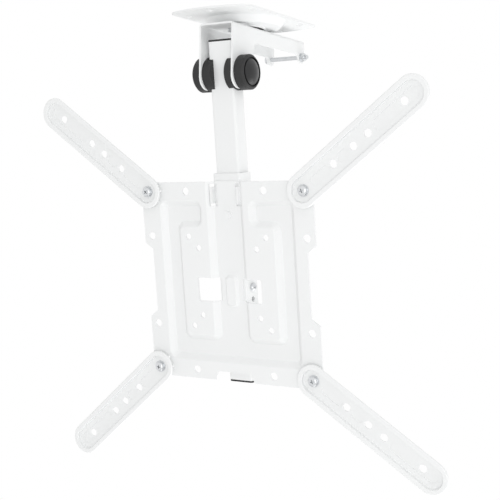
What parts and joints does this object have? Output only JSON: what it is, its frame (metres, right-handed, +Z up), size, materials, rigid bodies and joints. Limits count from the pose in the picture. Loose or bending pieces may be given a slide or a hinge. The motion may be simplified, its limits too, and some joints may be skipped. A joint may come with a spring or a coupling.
{
  "type": "tv mount",
  "caption": "Folding ceiling mount for a flat screen: swivelling plate, hinged square mast and a pressed screen plate with swinging slotted arms.",
  "frame": {"origin": "centre of the ceiling plate's upper face, on the swivel axis", "axes": "+Z up to the ceiling, +X to the right seen from the screen's side, +Y to the rear, where the mast folds up"},
  "size_m": [0.4909, 0.173, 0.5046],
  "materials": {
    "white_powder_coat": "satin powder coat",
    "zinc_steel": "zinc plated",
    "black_nylon": "fine matt moulding",
    "black_gloss_cap": "gloss"
  },
  "bodies": {
    "ceiling": {"ceiling_plate": "white_powder_coat", "swivel_bolt": "zinc_steel", "swivel_washer": "zinc_steel", "swivel_nut": "zinc_steel"},
    "bracket": {"friction_disc": "black_nylon", "clamp_screws": "zinc_steel", "clamp_washers": "zinc_steel", "hinge_bracket": "white_powder_coat", "stop_rod": "zinc_steel", "rod_washers": "zinc_steel", "rod_nut": "zinc_steel", "pivot_bolt": "zinc_steel", "pivot_nut": "zinc_steel", "cover_left": "black_nylon", "cover_right": "black_nylon", "cap_left": "black_gloss_cap", "cap_right": "black_gloss_cap"},
    "mast": {"mast_tube": "white_powder_coat", "mast_cap_top": "black_nylon", "mast_cap_bottom": "black_nylon", "spacer_left": "black_nylon", "spacer_right": "black_nylon", "carrier": "white_powder_coat", "carrier_screws": "zinc_steel", "plate_screw": "white_powder_coat", "screen_plate": "white_powder_coat", "arm_screws": "zinc_steel", "arm_washers": "zinc_steel", "arm_nuts": "zinc_steel"},
    "arm_tr": {"arm_tr": "white_powder_coat"},
    "arm_tl": {"arm_tl": "white_powder_coat"},
    "arm_bl": {"arm_bl": "white_powder_coat"},
    "arm_br": {"arm_br": "white_powder_coat"}
  },
  "joints": [
    {"name": "swivel", "type": "hinge", "parent": "ceiling", "child": "bracket", "pos_m": [0, 0, -0.0125], "axis": [0, 0, 1], "range_deg": [-30, 30]},
    {"name": "fold", "type": "hinge", "parent": "bracket", "child": "mast", "pos_m": [0, -0.0365, -0.064], "axis": [1, 0, 0], "range_deg": [-7.8, 82.2]},
    {"name": "arm_tr_swing", "type": "hinge", "parent": "mast", "child": "arm_tr", "pos_m": [0.1, -0.04029, -0.18958], "axis": [0, -0.9907, -0.1357], "range_deg": [-36.3, 53.7]},
    {"name": "arm_tl_swing", "type": "hinge", "parent": "mast", "child": "arm_tl", "pos_m": [-0.1, -0.04029, -0.18958], "axis": [0, -0.9907, -0.1357], "range_deg": [-53.6, 36.4]},
    {"name": "arm_bl_swing", "type": "hinge", "parent": "mast", "child": "arm_bl", "pos_m": [-0.1, -0.01315, -0.38773], "axis": [0, -0.9907, -0.1357], "range_deg": [-39.6, 50.4]},
    {"name": "arm_br_swing", "type": "hinge", "parent": "mast", "child": "arm_br", "pos_m": [0.1, -0.01315, -0.38773], "axis": [0, -0.9907, -0.1357], "range_deg": [-56.2, 33.8]}
  ]
}
